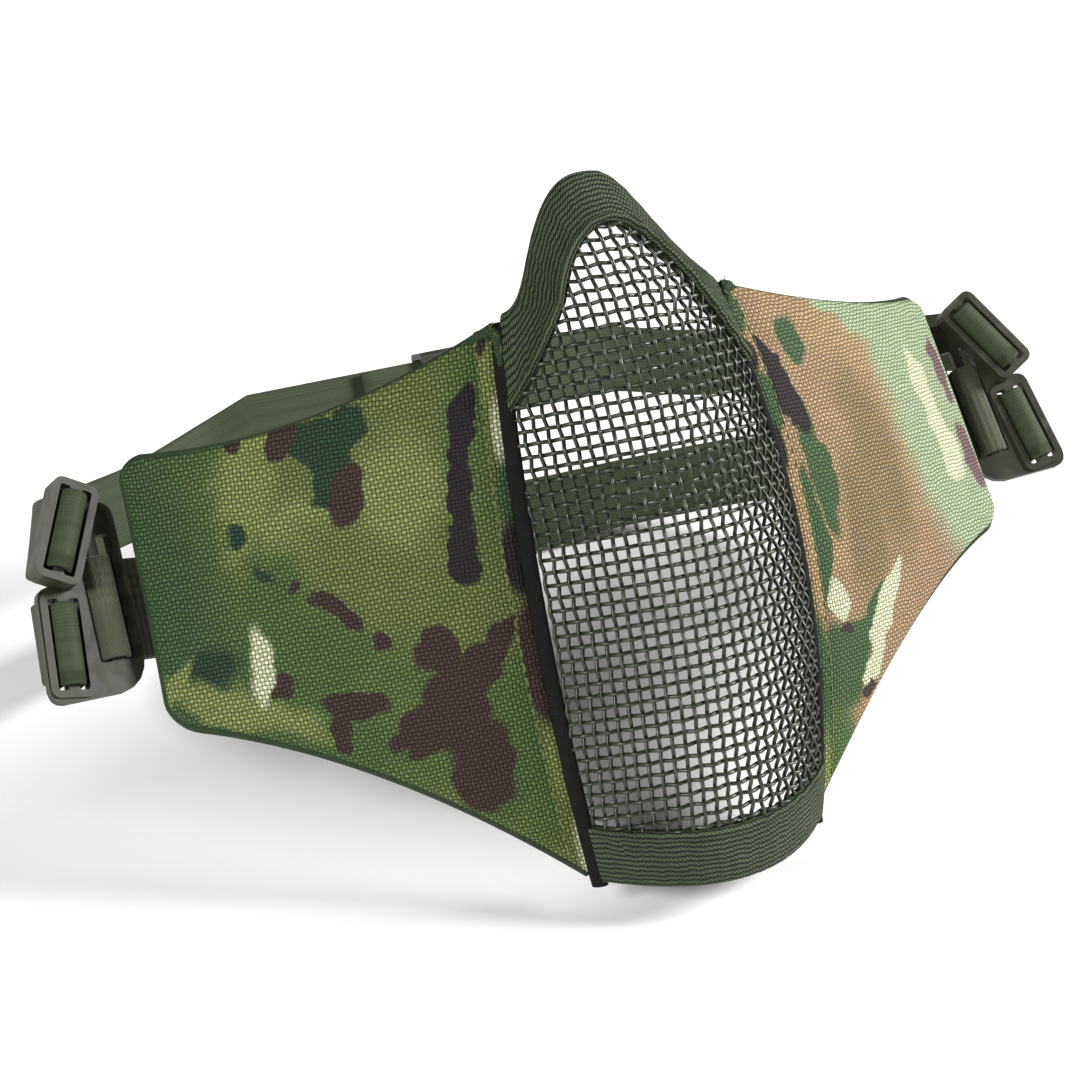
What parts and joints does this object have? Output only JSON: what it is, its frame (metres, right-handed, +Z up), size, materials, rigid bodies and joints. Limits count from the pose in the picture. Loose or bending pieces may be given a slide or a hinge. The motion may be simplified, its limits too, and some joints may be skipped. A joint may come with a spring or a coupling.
{
  "type": "face mask",
  "caption": "Foldable half-face mask: domed wire-mesh front, padded camouflage cheek panels, three-way side buckles and two adjustable straps.",
  "frame": {"origin": "middle of the footprint on the table, under the mask as it reclines on its chin binding and lower strap", "axes": "+Z up from the table; X across the mask with its plane of symmetry at X = 0; -Y the way the mesh faces. Upright, as worn, the mask would be turned 26 degrees forward about X"},
  "size_m": [0.284, 0.2084, 0.161],
  "materials": {
    "wire": "semi-gloss",
    "elastic_binding": "ribbed knit",
    "black_tape": "matt",
    "camo_cloth": "coarse plain weave, printed camouflage",
    "foam": "matt",
    "lining": "soft brushed cloth",
    "edge_binding": "folded tape",
    "webbing": "ribbed webbing",
    "strap": "smooth elastic webbing",
    "buckle_plastic": "moulded, satin"
  },
  "bodies": {
    "front": {"mesh_panel": "wire", "nose_binding": "elastic_binding", "chin_binding": "elastic_binding", "left_side_tape": "black_tape", "right_side_tape": "black_tape"},
    "left_cheek": {"left_cheek_cover": "camo_cloth", "left_cheek_pad": "foam", "left_cheek_lining": "lining", "left_cheek_binding": "edge_binding"},
    "right_cheek": {"right_cheek_cover": "camo_cloth", "right_cheek_pad": "foam", "right_cheek_lining": "lining", "right_cheek_binding": "edge_binding"},
    "left_harness": {"left_anchor_webbing": "webbing", "left_buckle": "buckle_plastic", "upper_strap_left": "strap", "lower_strap_left": "strap"},
    "right_harness": {"right_anchor_webbing": "webbing", "right_buckle": "buckle_plastic", "upper_strap_right": "strap", "lower_strap_right": "strap"},
    "upper_slider": {"upper_slider": "buckle_plastic"},
    "lower_slider": {"lower_slider": "buckle_plastic"}
  },
  "joints": [
    {"name": "left_cheek_fold", "type": "hinge", "parent": "front", "child": "left_cheek", "pos_m": [-0.032, -0.05928, 0.07125], "axis": [0, -0.4384, -0.8988], "range_deg": [-20, 12]},
    {"name": "right_cheek_fold", "type": "hinge", "parent": "front", "child": "right_cheek", "pos_m": [0.032, -0.05928, 0.07125], "axis": [0, 0.4384, 0.8988], "range_deg": [-20, 12]},
    {"name": "left_harness_swing", "type": "hinge", "parent": "left_cheek", "child": "left_harness", "pos_m": [-0.1165, -0.00826, 0.0675], "axis": [0, -0.4384, -0.8988], "range_deg": [-12, 20]},
    {"name": "right_harness_swing", "type": "hinge", "parent": "right_cheek", "child": "right_harness", "pos_m": [0.1165, -0.00826, 0.0675], "axis": [0, 0.4384, 0.8988], "range_deg": [-12, 20]},
    {"name": "upper_slider_slide", "type": "slide", "parent": "left_harness", "child": "upper_slider", "axis": [1, 0, 0], "range_m": [-0.012, 0.012]},
    {"name": "lower_slider_slide", "type": "slide", "parent": "left_harness", "child": "lower_slider", "axis": [1, 0, 0], "range_m": [-0.012, 0.012]}
  ],
  "couplings": [
    {"joint": "right_cheek_fold", "follows": "left_cheek_fold", "ratio": 1},
    {"joint": "left_harness_swing", "follows": "left_cheek_fold", "ratio": -1},
    {"joint": "right_harness_swing", "follows": "left_cheek_fold", "ratio": -1}
  ]
}
